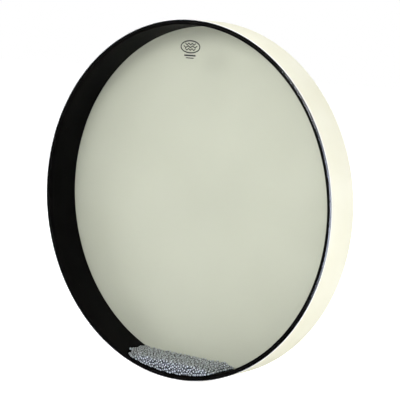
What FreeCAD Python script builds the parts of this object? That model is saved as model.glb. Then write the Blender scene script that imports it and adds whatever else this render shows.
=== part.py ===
"""Ocean drum: a shallow round frame drum with a head on both sides and loose steel beads inside.

The drum stands upright, as it is held to be shown. The origin is its centre, +Y runs along its
axis from the clear front head to the milky rear head, and +Z is up. Lengths are millimetres.

Every piece is its own solid: a fibre-composite shell with rounded bearing edges, two polyester
heads whose collars fold over those edges and are glued down, a covering band wrapped round the
outside on a layer of tape, an ink mark on the inner side of the front head, and the beads, which
lie in a level heap at the bottom of the shell.
"""

import FreeCAD, Part
import math
import os
import random

# ---- driving dimensions --------------------------------------------------------------------------
DRUM_DIAMETER = 558.8  # 22 in, over the covering
DRUM_DEPTH = 63.5  # 2.5 in, over both heads
SHELL_WALL = 7.0
HEAD_FILM = 0.25  # 10 mil polyester, both heads
GLUE_THICKNESS = 0.10
COVERING_THICKNESS = 0.60
BEAD_DIAMETER = 3.96875  # a 5/32 in steel ball

CONTACT_GAP = 0.02  # between pieces that lie against each other
OUTER_EDGE_RADIUS = 2.5  # rounding of the shell's bearing edge, on its outer side
INNER_EDGE_RADIUS = 1.5
COLLAR_DEPTH = 18.0  # how far a head's collar reaches down the shell, from the head's outer face
GLUE_MARGIN = 2.0  # bare collar at each end of its glue band
COVERING_FRONT_INSET = 1.25  # the covering's edges, from the heads' outer faces
COVERING_REAR_INSET = 3.0
BUTT_GAP = 0.4  # between the covering's two ends
SEAM_ANGLE = 250.0  # where the ends meet, in degrees from +X towards +Z

HEAP_DEPTH = 20.3  # from the lowest point of the shell's inside to the beads' surface above it
HEAP_TILT = 0.025  # rise of that surface towards +X, for each unit of length
HEAP_RIGHT_DROP = 23.0  # how far the surface falls at its right end, where beads roll away
HEAP_LEFT_RISE = 3.0  # how far it climbs up the shell at its left end
HEAP_CORNER_DROP = 21.0  # and how far that end falls where it meets the front head
STRAY_BEADS = 25  # lying on top of the surface
BEAD_PLAY = 0.05  # least space between a bead and the shell or a head
BEAD_SPACING_PLAY = 0.004  # least space between two beads
RUNNER_LEAD = 0.3  # space between the heap's last bead and the loose bead in front of it
FULL_AFTER = 60  # this many beads in a row that find no room below the level end the filling
RANDOM_SEED = 22

MARK_WIDTH = 38.0  # the oval printed on the front head
MARK_HEIGHT = 20.0
MARK_CENTRE_X = 8.0
MARK_CENTRE_Z = 238.0
INK_THICKNESS = 0.05
INK_LINE = 1.8  # width of a printed line

# ---- derived dimensions --------------------------------------------------------------------------
HALF_DEPTH = DRUM_DEPTH / 2
COVERING_OUTER = DRUM_DIAMETER / 2
COVERING_INNER = COVERING_OUTER - COVERING_THICKNESS
COLLAR_OUTER = COVERING_INNER - CONTACT_GAP
COLLAR_INNER = COLLAR_OUTER - HEAD_FILM
GLUE_OUTER = COLLAR_INNER - CONTACT_GAP
GLUE_INNER = GLUE_OUTER - GLUE_THICKNESS
SHELL_OUTER = GLUE_INNER - CONTACT_GAP
SHELL_INNER = SHELL_OUTER - SHELL_WALL
INNER_FACE = HALF_DEPTH - HEAD_FILM  # the heads' inner faces, from the middle plane
SHELL_HALF = INNER_FACE - CONTACT_GAP  # the shell's bearing edges

BEAD_RADIUS = BEAD_DIAMETER / 2
BEAD_PITCH = BEAD_DIAMETER + BEAD_SPACING_PLAY  # least distance between two bead centres
BEAD_ORBIT = SHELL_INNER - BEAD_PLAY - BEAD_RADIUS  # a bead's centre when it lies on the shell
BEAD_REACH = INNER_FACE - BEAD_PLAY - BEAD_RADIUS  # a bead's centre when it lies against a head

AXIS = FreeCAD.Vector(0, 1, 0)
ORIGIN = FreeCAD.Vector(0, 0, 0)
FRONT, REAR = -1, 1  # the side of the middle plane that a piece lies on


def save(name, shape):
    shape.exportStep(os.path.join("parts", name + ".step"))


def section(radius, y):
    """A point of a cross-section, which is drawn in the plane of the axis and +X."""
    return FreeCAD.Vector(radius, y, 0)


def line(start, end):
    return Part.LineSegment(start, end).toShape()


def round_corner(centre, radius, start_angle, end_angle, side):
    """An arc of a cross-section; angles are degrees from the outward radius towards the head."""
    points = []
    for angle in (start_angle, (start_angle + end_angle) / 2, end_angle):
        turn = math.radians(angle)
        points.append(centre + section(radius * math.cos(turn), side * radius * math.sin(turn)))
    return Part.Arc(*points).toShape()


def turned(edges, angle=360.0, start_angle=0.0):
    """The solid that a cross-section sweeps round the drum's axis; angles go from +X towards +Z."""
    face = Part.Face(Part.Wire(Part.__sortEdges__(edges)))
    # a right-hand turn about +Y runs from +X towards -Z, so both angles change sign
    solid = face.revolve(ORIGIN, AXIS, -angle)
    solid.rotate(ORIGIN, AXIS, -start_angle)
    return solid


def band(inner, outer, low_y, high_y):
    """The cross-section of a plain cylindrical band."""
    corners = [
        section(inner, low_y),
        section(outer, low_y),
        section(outer, high_y),
        section(inner, high_y),
    ]
    return [line(corners[i], corners[(i + 1) % 4]) for i in range(4)]


# ---- shell and heads -----------------------------------------------------------------------------
def shell():
    """The ring between the heads, with its two bearing edges rounded outside and, less, inside."""
    edges = []
    outer_half = SHELL_HALF - OUTER_EDGE_RADIUS
    inner_half = SHELL_HALF - INNER_EDGE_RADIUS
    for side in (FRONT, REAR):
        outer_centre = section(SHELL_OUTER - OUTER_EDGE_RADIUS, side * outer_half)
        inner_centre = section(SHELL_INNER + INNER_EDGE_RADIUS, side * inner_half)
        edge_y = side * SHELL_HALF
        edges += [
            round_corner(outer_centre, OUTER_EDGE_RADIUS, 0, 90, side),
            line(section(outer_centre.x, edge_y), section(inner_centre.x, edge_y)),
            round_corner(inner_centre, INNER_EDGE_RADIUS, 90, 180, side),
        ]
    edges += [
        line(section(SHELL_OUTER, -outer_half), section(SHELL_OUTER, outer_half)),
        line(section(SHELL_INNER, -inner_half), section(SHELL_INNER, inner_half)),
    ]
    return turned(edges)


def film_fold(centre, radius, start_angle, end_angle, side):
    """A quarter turn of the film, as a spline, which keeps its thinness even in coarse facets."""
    return round_corner(centre, radius, start_angle, end_angle, side).toNurbs().Edges[0]


def head(side):
    """A flat film disc whose rim folds over the bearing edge into a collar down the shell."""
    fold_start = SHELL_OUTER - OUTER_EDGE_RADIUS
    inner_fold = COLLAR_INNER - fold_start
    outer_fold = COLLAR_OUTER - fold_start
    fold_centre = section(fold_start, side * (INNER_FACE - inner_fold))
    collar_end = side * (HALF_DEPTH - COLLAR_DEPTH)
    edges = [
        line(section(0, side * INNER_FACE), section(0, side * HALF_DEPTH)),
        line(section(0, side * HALF_DEPTH), section(fold_start, side * HALF_DEPTH)),
        film_fold(fold_centre, outer_fold, 90, 0, side),
        line(section(COLLAR_OUTER, fold_centre.y), section(COLLAR_OUTER, collar_end)),
        line(section(COLLAR_OUTER, collar_end), section(COLLAR_INNER, collar_end)),
        line(section(COLLAR_INNER, collar_end), section(COLLAR_INNER, fold_centre.y)),
        film_fold(fold_centre, inner_fold, 0, 90, side),
        line(section(fold_start, side * INNER_FACE), section(0, side * INNER_FACE)),
    ]
    return turned(edges)


def collar_glue(side):
    """The band of glue that holds a head's collar to the shell."""
    ends = [
        side * (SHELL_HALF - OUTER_EDGE_RADIUS - GLUE_MARGIN),
        side * (HALF_DEPTH - COLLAR_DEPTH + GLUE_MARGIN),
    ]
    return turned(band(GLUE_INNER, GLUE_OUTER, min(ends), max(ends)))


# ---- covering ------------------------------------------------------------------------------------
def open_band(inner, outer, low_y, high_y):
    """A strip bent round the drum until its ends nearly meet at the seam."""
    gap_angle = math.degrees(BUTT_GAP / outer)
    return turned(band(inner, outer, low_y, high_y), 360 - gap_angle, SEAM_ANGLE + gap_angle / 2)


def covering():
    """The band wrapped round the outside, over both collars."""
    front_edge = -HALF_DEPTH + COVERING_FRONT_INSET
    rear_edge = HALF_DEPTH - COVERING_REAR_INSET
    return open_band(COVERING_INNER, COVERING_OUTER, front_edge, rear_edge)


def covering_tape():
    """Double-sided tape between the two collars, which holds the covering to the shell."""
    reach = HALF_DEPTH - COLLAR_DEPTH - CONTACT_GAP
    return open_band(SHELL_OUTER + CONTACT_GAP, COLLAR_OUTER, -reach, reach)


# ---- printed mark --------------------------------------------------------------------------------
def inked(outline):
    """A closed outline in the XZ plane, as a layer of ink under the front head."""
    layer = Part.Face(outline).extrude(FreeCAD.Vector(0, INK_THICKNESS, 0))
    layer.translate(FreeCAD.Vector(MARK_CENTRE_X, -INNER_FACE + CONTACT_GAP, MARK_CENTRE_Z))
    return layer


def oval_wire(width, height):
    ellipse = Part.Ellipse(ORIGIN, width / 2, height / 2)
    wire = Part.Wire(ellipse.toShape())
    wire.rotate(ORIGIN, FreeCAD.Vector(1, 0, 0), 90)
    return wire


def oval_ring():
    outer = inked(oval_wire(MARK_WIDTH, MARK_HEIGHT))
    inner = inked(oval_wire(MARK_WIDTH - 2 * INK_LINE, MARK_HEIGHT - 2 * INK_LINE))
    return outer.cut(inner)


def wave(centre_z, length, crests=3, height=2.2):
    """A printed wavy line, a ribbon between two copies of one sine curve."""
    steps = crests * 8
    edges = []
    for offset in (-INK_LINE / 2, INK_LINE / 2):
        points = [
            FreeCAD.Vector(
                length * (i / steps - 0.5),
                0,
                centre_z + offset + height / 2 * math.cos(2 * math.pi * crests * i / steps),
            )
            for i in range(steps + 1)
        ]
        curve = Part.BSplineCurve()
        curve.interpolate(points)
        edges.append((curve.toShape(), points[0], points[-1]))
    (low, low_start, low_end), (high, high_start, high_end) = edges
    sides = [line(low_start, high_start), line(low_end, high_end)]
    return inked(Part.Wire(Part.__sortEdges__([low, high] + sides)))


def bar(centre_z, length, height):
    corners = [
        FreeCAD.Vector(x * length / 2, 0, centre_z + z * height / 2)
        for x, z in ((-1, -1), (1, -1), (1, 1), (-1, 1))
    ]
    return inked(Part.makePolygon(corners + corners[:1]))


def printed_mark():
    """A plain oval with three waves in it, and two short bars under it."""
    pieces = [oval_ring(), wave(4.0, 20.0), wave(0.0, 26.0), wave(-4.0, 20.0)]
    pieces += [bar(-13.2, 22.0, 2.2), bar(-17.0, 15.0, 1.4)]
    return Part.makeCompound(pieces)


# ---- beads ---------------------------------------------------------------------------------------
HEAP_LEVEL = -SHELL_INNER + HEAP_DEPTH - BEAD_RADIUS  # the uppermost beads' centres
HEAP_REACH = math.sqrt(BEAD_ORBIT**2 - HEAP_LEVEL**2)


def surface_height(x, y):
    """How high a bead's centre may lie at x, y."""
    height = HEAP_LEVEL + HEAP_TILT * x
    if x > 0:
        return height - HEAP_RIGHT_DROP * (x / HEAP_REACH) ** 12
    to_front = (min(y, 0) / BEAD_REACH) ** 4
    left_end = HEAP_LEFT_RISE - HEAP_CORNER_DROP * to_front
    return height + left_end * (x / HEAP_REACH) ** 8


class BeadHeap:
    """Beads dropped one by one into the shell; each rolls downhill until nothing near is lower."""

    def __init__(self):
        self.centres = []
        self.cells = {}  # (column, row) on the floor plan: the beads whose centres lie there

    def cell(self, x, y):
        return math.floor(x / BEAD_PITCH), math.floor(y / BEAD_PITCH)

    def near(self, x, y):
        column, row = self.cell(x, y)
        found = []
        for c in range(column - 2, column + 3):
            for r in range(row - 2, row + 3):
                found += self.cells.get((c, r), ())
        return found

    def resting_height(self, x, y, beads):
        """How low a bead's centre can come at x, y, over the shell and the beads that lie there."""
        height = -math.sqrt(BEAD_ORBIT**2 - x * x)
        for bead_x, bead_y, bead_z in beads:
            across = (x - bead_x) ** 2 + (y - bead_y) ** 2
            if across < BEAD_PITCH**2:
                height = max(height, bead_z + math.sqrt(BEAD_PITCH**2 - across))
        return height

    def roll(self, x, y):
        """Where a bead dropped at x, y comes to rest."""
        step = BEAD_RADIUS / 2
        beads = self.near(x, y)
        height = self.resting_height(x, y, beads)
        home = self.cell(x, y)
        while step > BEAD_RADIUS / 200:
            best = None
            for turn in range(8):
                angle = turn * math.pi / 4
                try_x = x + step * math.cos(angle)
                try_y = min(max(y + step * math.sin(angle), -BEAD_REACH), BEAD_REACH)
                try_height = self.resting_height(try_x, try_y, beads)
                if try_height < height - 1e-6 and (best is None or try_height < best[0]):
                    best = try_height, try_x, try_y
            if best is None:
                step /= 2
                continue
            height, x, y = best
            if self.cell(x, y) != home:
                home, beads = self.cell(x, y), self.near(x, y)
        return x, y, self.resting_height(x, y, self.near(x, y))

    def add(self, x, y, z):
        self.centres.append((x, y, z))
        self.cells.setdefault(self.cell(x, y), []).append((x, y, z))

    def room(self, x, y):
        """How far the heap's surface lies above the place where a bead at x, y would rest."""
        return surface_height(x, y) - self.resting_height(x, y, self.near(x, y))

    def drop(self, rng, tries=12):
        """Where a bead comes to rest after falling on the deepest of several random places."""
        spots = [
            (rng.uniform(-HEAP_REACH, HEAP_REACH), rng.uniform(-BEAD_REACH, BEAD_REACH))
            for _ in range(tries)
        ]
        return self.roll(*max(spots, key=lambda spot: self.room(*spot)))

    def fill(self, rng):
        """Drops beads until the space under the heap's surface is full."""
        misses = 0
        while misses < FULL_AFTER:
            x, y, z = self.drop(rng)
            if z > surface_height(x, y):
                misses += 1
                continue
            self.add(x, y, z)

    def runner(self, side, y):
        """A bead on the shell just past the heap's end on that side (+1 or -1 along X)."""
        angle = 0.0
        while True:
            place = FreeCAD.Vector(
                side * BEAD_ORBIT * math.sin(angle), y, -BEAD_ORBIT * math.cos(angle)
            )
            gap = min(place.distanceToPoint(FreeCAD.Vector(*bead)) for bead in self.centres)
            if gap > BEAD_PITCH + RUNNER_LEAD:
                return place
            angle += 0.05 * BEAD_RADIUS / BEAD_ORBIT


def ball(centre):
    return Part.makeSphere(BEAD_RADIUS, FreeCAD.Vector(*centre))


# ---- the drum ------------------------------------------------------------------------------------
os.makedirs("parts", exist_ok=True)
save("shell", shell())
save("front_head", head(FRONT))
save("rear_head", head(REAR))
save("front_collar_glue", collar_glue(FRONT))
save("rear_collar_glue", collar_glue(REAR))
save("covering", covering())
save("covering_tape", covering_tape())
save("printed_mark", printed_mark())

rng = random.Random(RANDOM_SEED)
heap = BeadHeap()
heap.fill(rng)
for _ in range(STRAY_BEADS):
    heap.add(*heap.drop(rng, tries=1))
save("beads", Part.makeCompound([ball(centre) for centre in heap.centres]))
save("left_runner_bead", ball(heap.runner(-1, -12.0)))
save("right_runner_bead", ball(heap.runner(1, 9.0)))
print(len(heap.centres), "beads in the heap")
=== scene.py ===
"""Ocean drum: smooth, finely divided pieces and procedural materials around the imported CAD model.

The drum stands on its rim with its axis along Y, the clear front head towards -Y and +Z up.
Lengths are metres. Sizes come from the CAD nodes; the few that these can't tell are named below.
"""

import math

import bmesh
import bpy
import numpy as np
from mathutils import Matrix, Vector
from mathutils.kdtree import KDTree

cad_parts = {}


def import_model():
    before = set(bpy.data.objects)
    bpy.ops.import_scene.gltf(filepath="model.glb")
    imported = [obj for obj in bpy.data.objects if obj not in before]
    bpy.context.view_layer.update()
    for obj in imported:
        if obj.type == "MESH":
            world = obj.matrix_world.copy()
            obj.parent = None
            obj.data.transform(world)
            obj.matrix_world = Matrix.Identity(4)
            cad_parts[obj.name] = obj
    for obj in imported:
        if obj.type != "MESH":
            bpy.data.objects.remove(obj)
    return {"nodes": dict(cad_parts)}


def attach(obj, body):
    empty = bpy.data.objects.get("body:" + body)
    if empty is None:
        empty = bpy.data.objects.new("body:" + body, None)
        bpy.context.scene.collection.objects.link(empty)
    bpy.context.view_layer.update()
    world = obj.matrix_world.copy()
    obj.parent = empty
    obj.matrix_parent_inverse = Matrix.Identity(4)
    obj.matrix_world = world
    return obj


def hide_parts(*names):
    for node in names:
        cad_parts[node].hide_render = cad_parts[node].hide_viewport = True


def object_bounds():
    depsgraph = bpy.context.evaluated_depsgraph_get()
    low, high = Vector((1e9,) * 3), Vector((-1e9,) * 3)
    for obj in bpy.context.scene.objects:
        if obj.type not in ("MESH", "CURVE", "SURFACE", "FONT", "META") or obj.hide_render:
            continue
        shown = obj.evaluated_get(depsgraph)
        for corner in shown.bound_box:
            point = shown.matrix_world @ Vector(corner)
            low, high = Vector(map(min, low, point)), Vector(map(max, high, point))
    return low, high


MM = 0.001

# ---- sizes that the frame's boxes don't tell -----------------------------------------------------
FILM = 0.25 * MM  # thickness of both heads
OUTER_EDGE_RADIUS = 2.5 * MM  # the shell's bearing edge, outside
INNER_EDGE_RADIUS = 1.5 * MM
SEAM_ANGLE = 250.0  # where the covering's ends meet, in degrees from +X towards +Z
BUTT_GAP = 0.4 * MM  # between those ends
SOFT_EDGE = 0.12 * MM  # rounding of the covering's cut edges
END_TURNS = (83, 64, 45, 26, 7)  # degrees: the points along that rounding at the covering's two ends
SEGMENTS = 512  # round the drum
ARC_STEPS = 10  # along a quarter-round
CORNER_STEPS = 4  # along a corner of the covering's section
FLAT_STEPS = 16  # from a head's middle to its fold
SHARP_ANGLE = 40.0  # a fold of more degrees than this keeps a hard edge
HEAP_PIECES = 5  # the heap's beads are shared out among this many meshes
HEAP_ROUNDNESS = 3  # times that a bead's icosphere is subdivided
RUNNER_ROUNDNESS = 4

# ---- camera --------------------------------------------------------------------------------------
CAMERA_AZIMUTH = 37.14  # degrees; 0 looks along +Y, and more moves the camera towards +X
CAMERA_ELEVATION = 6.78
CAMERA_ROLL = 3.52
CAMERA_DISTANCE = 2.098
CAMERA_AIM = Vector((0.0128, 0.0099, 0.0015))
LENS = 120.93 * MM
SENSOR = 36.0 * MM

# ---- light: strengths of what surrounds the drum -------------------------------------------------
EVEN_LIGHT = 0.4
MIRRORED_WALLS = 0.006
MIRRORED_CARD = 6.0
CARD_DIRECTION = (36, -4)  # azimuth and elevation of the card's middle
CARD_REACH = 28  # degrees from there to the card's edge
CARD_FADE = 8  # degrees on either side of that edge
CARD_COLOUR = (0.86, 0.9, 1.0)
FLOOR_GLOW = 0.8
FLOOR_SIZE = 30.0
SOFTBOXES = (  # name, azimuth, elevation, distance, width, height, watts
    ("front_fill", -10, 24, 2.4, 1.4, 1.3, 15.5),
    ("left", -66, 4, 2.4, 1.2, 1.2, 16.0),
    ("right", 38, 14, 1.0, 0.5, 0.7, 2.6),
    ("side", 94, 6, 1.9, 1.3, 1.1, 6.0),
    ("top", 10, 80, 2.2, 2.0, 2.0, 8.0),
    ("top_back", -150, 45, 2.2, 1.3, 1.3, 30.0),
    ("back", 148, 12, 1.5, 0.9, 1.2, 9.0),
)
KEY_LIGHT = ("key", 2, 23, 2.4, 0.8, 0.7, 15.0)  # the only one that shows in mirrors

# ---- surfaces ------------------------------------------------------------------------------------
LACQUER_BAND = 2.0 * MM, 1.2 * MM  # in from the shell's edge: where lacquer starts, and where it is full
LACQUER_FADE = 0.5 * MM  # on either side of the middle of the shell's wall
LACQUER_SMOOTHING = 0.25
BARE_SHINE, LACQUER_SHINE = 0.015, 0.5
WHITE_EDGE_BAND = 1.4 * MM, 1.0 * MM  # in from the covering's front: where the white band starts, and where it is full
FILM_MIRROR = 0.04  # share of light that a film's faces mirror when seen head on
FILM_HAZE = 0.008
SHELL_SHADE = 0.16  # how much painted shade darkens the milky film where it rests on the black shell
LET_THROUGH = 0.18  # share of the light that the milky film passes on
GAP_POWER = 3.0  # how fast the painted shade on the beads deepens towards the gaps between them
GAP_REACH = 3.0  # in radii: beads whose centres are closer than this cast painted shade on each other
NOISE_MIDDLE = 0.3, 0.7  # nearly all of a noise lies between these

# ---- colours: the two ends of each material's mottling -------------------------------------------
COMPOSITE = (0.0026, 0.0024, 0.0022, 1), (0.0044, 0.004, 0.0038, 1)
MILKY = (0.615, 0.635, 0.525, 1), (0.645, 0.665, 0.555, 1)
# painted shade: the milky film's colour where the black shell lies behind it and blocks the light
PAINTED_SHELL_SHADOW = (0.1, 0.1, 0.09, 1)
CREAM = (0.84, 0.825, 0.665, 1), (0.88, 0.87, 0.73, 1)
FRONT_EDGE_WHITE = (0.97, 0.97, 0.97, 1)
INK = (0.008, 0.008, 0.009, 1), (0.02, 0.02, 0.02, 1)
AMBER = (0.42, 0.33, 0.16, 1), (0.6, 0.5, 0.3, 1)
TAPE = (0.66, 0.64, 0.58, 1), (0.78, 0.76, 0.7, 1)
STEEL = (0.74, 0.77, 0.82, 1), (0.92, 0.95, 1.0, 1)
# painted shade: the colour of a bead's surface down in the gaps, where the balls next to it hide it from
# the light
PAINTED_GAP_SHADE = (0.012, 0.013, 0.015, 1)
FILM_SHEEN = (0.84, 0.88, 1.0, 1)
FLOOR_WHITE = (0.9, 0.9, 0.9, 1)

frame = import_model()
cad_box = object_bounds()
nodes = frame["nodes"]


# ---- reading the frame ---------------------------------------------------------------------------
def vertex_array(mesh):
    co = np.empty(len(mesh.vertices) * 3, np.float32)
    mesh.vertices.foreach_get("co", co)
    return co.reshape(-1, 3).astype(float)


def ring(node):
    """Inner radius, outer radius, lowest y and highest y of a node that runs round the drum's axis."""
    co = vertex_array(nodes[node].data)
    radius = np.hypot(co[:, 0], co[:, 2])
    return radius.min(), radius.max(), co[:, 1].min(), co[:, 1].max()


def balls(node):
    """Centres and radius of the separate balls in a node."""
    mesh = nodes[node].data
    co = vertex_array(mesh)
    edges = np.empty(len(mesh.edges) * 2, np.int32)
    mesh.edges.foreach_get("vertices", edges)
    a, b = edges.reshape(-1, 2).T
    label = np.arange(len(co))  # ends up the same for all the vertices of one ball
    while True:
        low = np.minimum(label[a], label[b])
        reached = label.copy()
        np.minimum.at(reached, a, low)
        np.minimum.at(reached, b, low)
        if (reached == label).all():
            break
        label = reached
    _, index = np.unique(label, return_inverse=True)
    count = index.max() + 1
    # every vertex lies on its ball: |p|^2 = 2 p.c + (r^2 - |c|^2) is linear in c and in the bracket
    start = np.zeros((count, 3))
    np.add.at(start, index, co)
    start /= np.bincount(index)[:, None]
    local = co - start[index]
    rows = np.concatenate([2 * local, np.ones((len(co), 1))], axis=1)
    normal = np.zeros((count, 4, 4))
    np.add.at(normal, index, rows[:, :, None] * rows[:, None, :])
    target = np.zeros((count, 4))
    np.add.at(target, index, rows * (local**2).sum(1)[:, None])
    solved = np.linalg.solve(normal, target[:, :, None])[:, :, 0]
    radius = np.sqrt(solved[:, 3] + (solved[:, :3] ** 2).sum(1))
    return start + solved[:, :3], float(np.median(radius))


# ---- meshes --------------------------------------------------------------------------------------
def mesh_object(name, vertices, faces):
    mesh = bpy.data.meshes.new(name)
    mesh.from_pydata([tuple(v) for v in vertices], [], faces)
    mesh.validate()
    mesh.polygons.foreach_set("use_smooth", [True] * len(mesh.polygons))
    mesh.set_sharp_from_angle(angle=math.radians(SHARP_ANGLE))
    piece = bpy.data.objects.new(name, mesh)
    bpy.context.scene.collection.objects.link(piece)
    return piece


def arc(centre, radius, start_angle, end_angle, steps=ARC_STEPS):
    """Points of a rounding in a (radius, y) section; angles are degrees from outward towards +y."""
    angles = [math.radians(start_angle + (end_angle - start_angle) * i / steps) for i in range(steps + 1)]
    return [(centre[0] + radius * math.cos(t), centre[1] + radius * math.sin(t)) for t in angles]


def mirrored(section):
    """The same section on the other side of the middle plane, still running the same way round."""
    return [(r, -y) for r, y in reversed(section)]


def lathe(name, section):
    """A closed section of (radius, y) points, anticlockwise with y up, turned round the drum's axis.

    A section that starts and ends on the axis closes there."""
    on_axis = section[0][0] == 0
    rings = section[1:-1] if on_axis else section
    angles = [2 * math.pi * i / SEGMENTS for i in range(SEGMENTS)]
    vertices = [(r * math.cos(t), y, r * math.sin(t)) for r, y in rings for t in angles]
    faces = []
    spans = len(rings) - 1 if on_axis else len(rings)
    for k in range(spans):
        low, high = k * SEGMENTS, (k + 1) % len(rings) * SEGMENTS
        for i in range(SEGMENTS):
            j = (i + 1) % SEGMENTS
            faces.append((low + i, low + j, high + j, high + i))
    if on_axis:
        first, last = len(vertices), len(vertices) + 1
        vertices += [(0, section[0][1], 0), (0, section[-1][1], 0)]
        top = (len(rings) - 1) * SEGMENTS
        for i in range(SEGMENTS):
            j = (i + 1) % SEGMENTS
            faces.append((first, j, i))
            faces.append((last, top + i, top + j))
    return outward(mesh_object(name, vertices, faces))


def outward(piece):
    """Turns a closed mesh's faces outwards."""
    work = bmesh.new()
    work.from_mesh(piece.data)
    bmesh.ops.recalc_face_normals(work, faces=work.faces)
    work.to_mesh(piece.data)
    work.free()
    return piece


# ---- drum parts ----------------------------------------------------------------------------------
def shell():
    inner, outer, _, half = ring("shell")
    side = [(inner, 0.0), (outer, 0.0)]
    side += arc((outer - OUTER_EDGE_RADIUS, half - OUTER_EDGE_RADIUS), OUTER_EDGE_RADIUS, 0, 90)
    side += arc((inner + INNER_EDGE_RADIUS, half - INNER_EDGE_RADIUS), INNER_EDGE_RADIUS, 90, 180)
    rear = side[2:]
    return lathe("shell_composite", rear + mirrored(rear))


def flat_stretch(outer, y):
    """Points from the axis to just short of a head's fold."""
    return [(outer * i / FLAT_STEPS, y) for i in range(FLAT_STEPS)]


def head(name, node, facing):
    """A head's film: flat, folded over the bearing edge and down into its collar.

    facing is -1 for the front head and 1 for the rear one."""
    _, outer, low, high = ring(node)
    face_y, collar_y = (high, low) if facing > 0 else (-low, -high)
    shell_outer = ring("shell")[1]
    fold = shell_outer - OUTER_EDGE_RADIUS
    outer_fold = outer - fold
    inner_fold = outer_fold - FILM
    centre = (fold, face_y - outer_fold)
    inside = flat_stretch(fold, face_y - FILM) + arc(centre, inner_fold, 90, 0)
    inside.append((outer - FILM, collar_y))
    outside = flat_stretch(fold, face_y) + arc(centre, outer_fold, 90, 0)
    outside.append((outer, collar_y))
    section = inside + outside[::-1]
    if facing < 0:
        section = mirrored(section)
    return lathe(name, section)


def soft_box(low, high, y_low, y_high, inset):
    """A (radius, y) section with rounded corners, drawn in by inset all round."""
    corner = SOFT_EDGE - inset
    low, high, y_low, y_high = low + SOFT_EDGE, high - SOFT_EDGE, y_low + SOFT_EDGE, y_high - SOFT_EDGE
    return (
        arc((high, y_low), corner, -90, 0, CORNER_STEPS)
        + arc((high, y_high), corner, 0, 90, CORNER_STEPS)
        + arc((low, y_high), corner, 90, 180, CORNER_STEPS)
        + arc((low, y_low), corner, 180, 270, CORNER_STEPS)
    )


def band(name, node):
    """A strip wrapped round the drum, with softly rounded edges and a butt seam."""
    low, high, y_low, y_high = ring(node)
    segments = 2 * SEGMENTS
    start = math.radians(SEAM_ANGLE) + BUTT_GAP / high / 2
    sweep = 2 * math.pi - BUTT_GAP / high
    turns = [math.radians(t) for t in END_TURNS]
    ends = [(SOFT_EDGE * (1 - math.sin(t)), SOFT_EDGE * (1 - math.cos(t))) for t in turns]
    stations = [(start + back / high, inset) for back, inset in ends]
    stations += [(start + sweep * i / segments, 0.0) for i in range(1, segments)]
    stations += [(start + sweep - back / high, inset) for back, inset in ends[::-1]]
    vertices = [
        (r * math.cos(t), y, r * math.sin(t))
        for t, inset in stations
        for r, y in soft_box(low, high, y_low, y_high, inset)
    ]
    around = len(vertices) // len(stations)
    faces = [tuple(range(around)), tuple(range(len(vertices) - around, len(vertices)))]
    for k in range(len(stations) - 1):
        for i in range(around):
            j = (i + 1) % around
            faces.append((k * around + i, k * around + j, (k + 1) * around + j, (k + 1) * around + i))
    return outward(mesh_object(name, vertices, faces))


# ---- materials -----------------------------------------------------------------------------------
class Nodes:
    """Short calls for building one node tree."""

    def __init__(self, name):
        self.material = bpy.data.materials.new(name)
        self.material.use_nodes = True
        self.tree = self.material.node_tree
        self.tree.nodes.clear()
        self.output = self.add("ShaderNodeOutputMaterial")
        self.place = self.add("ShaderNodeTexCoord").outputs["Object"]

    def add(self, kind, **settings):
        node = self.tree.nodes.new(kind)
        for key, value in settings.items():
            if key in node.inputs:
                self.feed(node.inputs[key], value)
            else:
                setattr(node, key, value)
        return node

    def feed(self, socket, value):
        if isinstance(value, bpy.types.NodeSocket):
            self.tree.links.new(value, socket)
        else:
            socket.default_value = value

    def shader(self, **inputs):
        node = self.add("ShaderNodeBsdfPrincipled")
        for key, value in inputs.items():
            self.feed(node.inputs[key.replace("_", " ")], value)
        return node.outputs["BSDF"]

    def noise(self, scale, detail=3.0):
        node = self.add("ShaderNodeTexNoise", Vector=self.place, Scale=scale, Detail=detail)
        return node.outputs["Fac"]

    def ramp(self, value, low, high, to_low=0.0, to_high=1.0):
        node = self.add("ShaderNodeMapRange")
        for key, number in (
            ("Value", value), ("From Min", low), ("From Max", high), ("To Min", to_low), ("To Max", to_high)
        ):
            self.feed(node.inputs[key], number)
        return node.outputs["Result"]

    def spread(self, noise, to_low=0.0, to_high=1.0):
        """A noise's middle range, stretched over the given one."""
        return self.ramp(noise, *NOISE_MIDDLE, to_low, to_high)

    def mottle(self, noise, colours):
        """Two colours, mixed as a noise says."""
        return self.mix(self.spread(noise), *colours)

    def mix(self, share, first, second):
        """Mixes colours, which this node takes at sockets 6 and 7 and gives at 2."""
        node = self.add("ShaderNodeMix", data_type="RGBA")
        self.feed(node.inputs[0], share)
        self.feed(node.inputs[6], first)
        self.feed(node.inputs[7], second)
        return node.outputs[2]

    def along(self, axis):
        node = self.add("ShaderNodeSeparateXYZ")
        self.feed(node.inputs[0], self.place)
        return node.outputs[axis]

    def from_axis(self):
        """Distance from the drum's axis."""
        across = self.add("ShaderNodeVectorMath", operation="MULTIPLY")
        self.feed(across.inputs[0], self.place)
        across.inputs[1].default_value = (1, 0, 1)
        length = self.add("ShaderNodeVectorMath", operation="LENGTH")
        self.feed(length.inputs[0], across.outputs["Vector"])
        return length.outputs["Value"]

    def facing(self):
        """0 seen head on, 1 seen edge on."""
        return self.add("ShaderNodeLayerWeight", Blend=0.5).outputs["Facing"]

    def maths(self, operation, *values):
        node = self.add("ShaderNodeMath", operation=operation)
        for i, value in enumerate(values):
            self.feed(node.inputs[i], value)
        return node.outputs[0]

    def bump(self, height, distance, strength=1.0):
        node = self.add("ShaderNodeBump")
        self.feed(node.inputs["Height"], height)
        self.feed(node.inputs["Distance"], distance)
        self.feed(node.inputs["Strength"], strength)
        return node.outputs["Normal"]

    def blend(self, share, first, second):
        node = self.add("ShaderNodeMixShader")
        self.feed(node.inputs[0], share)
        self.feed(node.inputs[1], first)
        self.feed(node.inputs[2], second)
        return node.outputs[0]

    def done(self, surface):
        self.feed(self.output.inputs["Surface"], surface)
        return self.material


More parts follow.
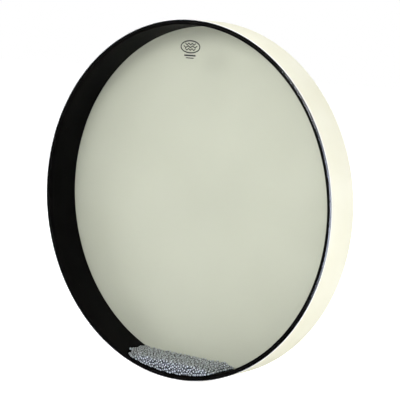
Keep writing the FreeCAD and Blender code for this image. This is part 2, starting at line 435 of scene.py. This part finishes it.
def shell_black():
    """Bare dark composite, lacquered over the outer half of the bearing edges."""
    n = Nodes("shell_black")
    fibres = n.noise(900.0, 4.0)
    cloud = n.noise(30.0, 2.0)
    inner, outer, _, half = ring("shell")
    start, full = LACQUER_BAND
    near_edge = n.ramp(n.maths("ABSOLUTE", n.along("Y")), half - start, half - full)
    middle = (inner + outer) / 2
    outer_half = n.ramp(n.from_axis(), middle - LACQUER_FADE, middle + LACQUER_FADE)
    edge = n.maths("MULTIPLY", near_edge, outer_half)
    smoothed = n.maths("MULTIPLY", edge, LACQUER_SMOOTHING)
    bare = n.maths("SUBTRACT", 1.0, edge)
    return n.done(
        n.shader(
            Base_Color=n.mottle(cloud, COMPOSITE),
            Roughness=n.maths("SUBTRACT", n.spread(fibres, 0.42, 0.55), smoothed),
            Specular_IOR_Level=n.ramp(edge, 0.0, 1.0, BARE_SHINE, LACQUER_SHINE),
            Normal=n.bump(n.maths("MULTIPLY", fibres, bare), 0.04 * MM, 0.4),
        )
    )


def clear_film():
    """Lets light straight through, but for what its two faces mirror."""
    n = Nodes("clear_film")
    grazing = n.maths("POWER", n.facing(), 5.0)
    mirrored_share = n.maths("ADD", n.maths("MULTIPLY", grazing, 1 - FILM_MIRROR), FILM_MIRROR)
    haze = n.ramp(n.noise(14.0, 2.0), 0.35, 0.7, 0.0, FILM_HAZE)
    sheen = n.shader(
        Base_Color=FILM_SHEEN,
        Roughness=n.spread(n.noise(25.0), 0.04, 0.09),
        Metallic=1.0,
    )
    clear = n.add("ShaderNodeBsdfTransparent").outputs[0]
    return n.done(n.blend(n.maths("ADD", mirrored_share, haze), clear, sheen))


def milky_film():
    """Frosted film that lets some light through, with shade painted darker where it rests on the black
    shell, which blocks the light behind it.
    """
    n = Nodes("milky_film")
    speckle = n.noise(1500.0, 2.0)
    inner, outer, _, _ = ring("shell")
    on_shell = n.ramp(
        n.from_axis(), inner + INNER_EDGE_RADIUS / 2, inner + INNER_EDGE_RADIUS, 0.0, SHELL_SHADE
    )
    off_shell = n.ramp(n.from_axis(), outer - OUTER_EDGE_RADIUS, outer - OUTER_EDGE_RADIUS / 2)
    shell_shadow_share = n.maths("MULTIPLY", on_shell, n.maths("SUBTRACT", 1.0, off_shell))
    # painted shade: a ring darkened where the film rests on the shell
    colour = n.mix(shell_shadow_share, n.mottle(n.noise(9.0), MILKY), PAINTED_SHELL_SHADOW)
    frosted = n.shader(
        Base_Color=colour,
        Roughness=n.spread(speckle, 0.5, 0.62),
        Specular_IOR_Level=0.3,
        Normal=n.bump(speckle, 0.01 * MM, 0.4),
    )
    through = n.add("ShaderNodeBsdfTranslucent", Color=colour)
    return n.done(n.blend(LET_THROUGH, frosted, through.outputs[0]))


def covering_cream():
    """Cream, and white in a narrow band along its front edge."""
    n = Nodes("covering_cream")
    grain = n.noise(1400.0)
    front = ring("covering")[2]
    start, full = WHITE_EDGE_BAND
    front_white = n.ramp(n.along("Y"), front + start, front + full)
    cream = n.mottle(n.noise(12.0), CREAM)
    return n.done(
        n.shader(
            Base_Color=n.mix(front_white, cream, FRONT_EDGE_WHITE),
            Roughness=n.spread(grain, 0.42, 0.6),
            Specular_IOR_Level=0.35,
            Normal=n.bump(grain, 0.06 * MM, 0.5),
        )
    )


def ink():
    n = Nodes("ink")
    speckle = n.noise(1200.0)
    return n.done(
        n.shader(
            Base_Color=n.mix(n.ramp(speckle, 0.4, 0.8), *INK),
            Roughness=n.spread(speckle, 0.5, 0.65),
        )
    )


def glue():
    n = Nodes("glue")
    cloud = n.noise(60.0)
    return n.done(
        n.shader(
            Base_Color=n.mottle(cloud, AMBER),
            Roughness=n.spread(cloud, 0.2, 0.35),
        )
    )


def tape():
    n = Nodes("tape")
    cells = n.noise(2500.0, 2.0)
    return n.done(
        n.shader(
            Base_Color=n.mottle(cells, TAPE),
            Roughness=0.8,
            Normal=n.bump(cells, 0.05 * MM, 0.6),
        )
    )


def bead_steel():
    """Steel with painted shade: bright where a ball sees out of the heap, and painted dark down in the gaps
    between the balls.
    """
    n = Nodes("bead_steel")
    smear = n.noise(400.0, 2.0)
    is_open = n.add("ShaderNodeAttribute", attribute_name="open").outputs["Fac"]
    seen = n.maths("POWER", is_open, GAP_POWER)
    return n.done(
        n.shader(
            # painted shade: the steel darkens where the ball faces its neighbours, down in the gaps
            Base_Color=n.mix(seen, PAINTED_GAP_SHADE, n.mottle(smear, STEEL)),
            Metallic=1.0,
            Roughness=n.spread(smear, 0.28, 0.34),
        )
    )


def dress_node(node, material):
    """A CAD node keeps its mesh and slot, and takes this material."""
    slots = nodes[node].material_slots
    if not slots:
        nodes[node].data.materials.append(material)
    for one in slots:
        one.material = material


def add_piece(piece, body, node, material):
    """Puts a smooth piece on its body, in the place of its CAD node."""
    piece.data.materials.append(material)
    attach(piece, body)
    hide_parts(node)


# ---- beads ---------------------------------------------------------------------------------------
def ball_template(subdivisions):
    work = bmesh.new()
    bmesh.ops.create_icosphere(work, subdivisions=subdivisions, radius=1.0)
    vertices = np.array([v.co for v in work.verts])
    faces = np.array([[v.index for v in f.verts] for f in work.faces])
    work.free()
    return vertices, faces


def neighbours(centres, reach):
    """Pairs of balls, as two arrays of their numbers, whose centres are closer than reach."""
    tree = KDTree(len(centres))
    for i, centre in enumerate(centres):
        tree.insert(centre, i)
    tree.balance()
    found = [(i, j) for i, centre in enumerate(centres) for _, j, _ in tree.find_range(centre, reach)]
    return np.array([pair for pair in found if pair[0] != pair[1]]).T


def openness(centres, radius, template):
    """How freely each point of each ball sees out past the balls next to it, from 0 to 1; the bead material
    paints shade from it.
    """
    ball, other = neighbours(centres, GAP_REACH * radius)
    hidden = np.zeros((len(centres), len(template)))
    towards = (centres[other] - centres[ball])[:, None, :] - radius * template[None]
    distance = np.linalg.norm(towards, axis=2)
    share = np.clip((towards * template[None]).sum(2) / distance, 0, 1) * (radius / distance) ** 2
    np.add.at(hidden, ball, share)
    return np.clip(1.0 - hidden, 0.0, 1.0)


def ball_mesh(name, centres, radius, template, triangles, shade):
    """One mesh of separate round balls. Its open attribute holds painted shade for every point."""
    count, points = len(centres), len(template)
    vertices = (centres[:, None, :] + radius * template[None]).astype(np.float32)
    corners = (triangles[None] + np.arange(count)[:, None, None] * points).astype(np.int32)
    mesh = bpy.data.meshes.new(name)
    mesh.vertices.add(count * points)
    mesh.vertices.foreach_set("co", vertices.ravel())
    mesh.loops.add(corners.size)
    mesh.loops.foreach_set("vertex_index", corners.ravel())
    mesh.polygons.add(corners.size // 3)
    mesh.polygons.foreach_set("loop_start", np.arange(0, corners.size, 3, dtype=np.int32))
    mesh.polygons.foreach_set("use_smooth", np.ones(corners.size // 3, bool))
    seen = mesh.attributes.new("open", "FLOAT", "POINT")
    seen.data.foreach_set("value", shade.ravel().astype(np.float32))
    mesh.update(calc_edges=True)
    piece = bpy.data.objects.new(name, mesh)
    bpy.context.scene.collection.objects.link(piece)
    return piece


# ---- putting the drum together -------------------------------------------------------------------
def build_drum():
    add_piece(shell(), "drum", "shell", shell_black())
    add_piece(head("front_film", "front_head", -1), "drum", "front_head", clear_film())
    add_piece(head("rear_film", "rear_head", 1), "drum", "rear_head", milky_film())
    add_piece(band("covering_band", "covering"), "drum", "covering", covering_cream())
    dress_node("covering_tape", tape())
    dress_node("printed_mark", ink())
    amber = glue()
    dress_node("front_collar_glue", amber)
    dress_node("rear_collar_glue", amber)
    build_beads(bead_steel())


def build_beads(steel):
    centres, radius = balls("beads")
    template, triangles = ball_template(HEAP_ROUNDNESS)
    shade = openness(centres, radius, template)
    order = np.lexsort((centres[:, 2], centres[:, 1], centres[:, 0]))
    for i, group in enumerate(np.array_split(order, HEAP_PIECES)):
        piece = ball_mesh(f"heap_beads_{i + 1}", centres[group], radius, template, triangles, shade[group])
        add_piece(piece, "bead_heap", "beads", steel)
    template, triangles = ball_template(RUNNER_ROUNDNESS)
    for side in ("left", "right"):
        centre, radius = balls(f"{side}_runner_bead")
        piece = ball_mesh(f"{side}_runner", centre, radius, template, triangles, np.ones(len(template)))
        add_piece(piece, f"{side}_runner", f"{side}_runner_bead", steel)


# ---- studio --------------------------------------------------------------------------------------
def floor():
    """A pale floor, lifted to white for the camera, so that only the shade under the drum shows."""
    bpy.ops.mesh.primitive_plane_add(size=FLOOR_SIZE, location=(0, 0, cad_box[0].z))
    plane = bpy.context.object
    plane.name = "floor"
    n = Nodes("floor_white")
    white = n.shader(Base_Color=FLOOR_WHITE, Roughness=0.9, Specular_IOR_Level=0.0)
    seen = n.add("ShaderNodeLightPath").outputs["Is Camera Ray"]
    glow = n.add("ShaderNodeEmission", Strength=n.maths("MULTIPLY", seen, FLOOR_GLOW))
    both = n.add("ShaderNodeAddShader")
    n.feed(both.inputs[0], white)
    n.feed(both.inputs[1], glow.outputs[0])
    plane.data.materials.append(n.done(both.outputs[0]))
    plane.visible_glossy = False


def softbox(name, azimuth, elevation, distance, width, height, power):
    """A lamp that faces the drum."""
    lamp = bpy.data.lights.new(name, "AREA")
    lamp.shape = "RECTANGLE"
    lamp.size, lamp.size_y = width, height
    lamp.energy = power
    box = bpy.data.objects.new(name, lamp)
    bpy.context.scene.collection.objects.link(box)
    away = direction(azimuth, elevation)
    turn = (-away).to_track_quat("-Z", "Y").to_matrix()
    box.matrix_world = Matrix.Translation(away * distance) @ turn.to_4x4()
    return box


def world():
    """White behind the drum and even light all round; mirrors see the dark and one pale card."""
    scene = bpy.context.scene
    scene.world = bpy.data.worlds.new("studio")
    scene.world.use_nodes = True
    tree = scene.world.node_tree
    tree.nodes.clear()

    def background(strength, colour=(1, 1, 1)):
        one = tree.nodes.new("ShaderNodeBackground")
        one.inputs["Strength"].default_value = strength
        one.inputs["Color"].default_value = (*colour, 1)
        return one

    def choose(share, otherwise, chosen):
        mixed = tree.nodes.new("ShaderNodeMixShader")
        tree.links.new(share, mixed.inputs[0])
        tree.links.new(otherwise.outputs[0], mixed.inputs[1])
        tree.links.new(chosen.outputs[0], mixed.inputs[2])
        return mixed

    towards = tree.nodes.new("ShaderNodeVectorMath")
    towards.operation = "DOT_PRODUCT"
    towards.inputs[1].default_value = direction(*CARD_DIRECTION)
    tree.links.new(tree.nodes.new("ShaderNodeTexCoord").outputs["Generated"], towards.inputs[0])
    card = tree.nodes.new("ShaderNodeMapRange")
    card.inputs["From Min"].default_value = math.cos(math.radians(CARD_REACH + CARD_FADE))
    card.inputs["From Max"].default_value = math.cos(math.radians(CARD_REACH - CARD_FADE))
    tree.links.new(towards.outputs["Value"], card.inputs["Value"])
    path = tree.nodes.new("ShaderNodeLightPath").outputs
    pale = background(MIRRORED_CARD, CARD_COLOUR)
    mirrored = choose(card.outputs["Result"], background(MIRRORED_WALLS), pale)
    unseen = choose(path["Is Glossy Ray"], background(EVEN_LIGHT), mirrored)
    everything = choose(path["Is Camera Ray"], unseen, background(1.0))
    tree.links.new(everything.outputs[0], tree.nodes.new("ShaderNodeOutputWorld").inputs["Surface"])


def direction(azimuth, elevation):
    """Unit vector from the drum; azimuth 0 is in front (-Y) and 90 at the right (+X)."""
    a, e = math.radians(azimuth), math.radians(elevation)
    return Vector((math.sin(a) * math.cos(e), -math.cos(a) * math.cos(e), math.sin(e)))


def camera():
    """A long lens, to the right of the front and a little above the drum's middle."""
    data = bpy.data.cameras.new("camera")
    data.sensor_width = SENSOR / MM
    data.lens = LENS / MM
    data.clip_end = 100.0
    eye = bpy.data.objects.new("camera", data)
    bpy.context.scene.collection.objects.link(eye)
    away = direction(CAMERA_AZIMUTH, CAMERA_ELEVATION)
    turn = (-away).to_track_quat("-Z", "Y").to_matrix() @ Matrix.Rotation(math.radians(CAMERA_ROLL), 3, "Z")
    eye.matrix_world = Matrix.Translation(CAMERA_AIM + away * CAMERA_DISTANCE) @ turn.to_4x4()
    bpy.context.scene.camera = eye


def studio():
    floor()
    world()
    softbox(*KEY_LIGHT)
    for one in SOFTBOXES:
        softbox(*one).visible_glossy = False
    camera()
    bpy.context.scene.view_settings.view_transform = "Standard"


build_drum()
studio()
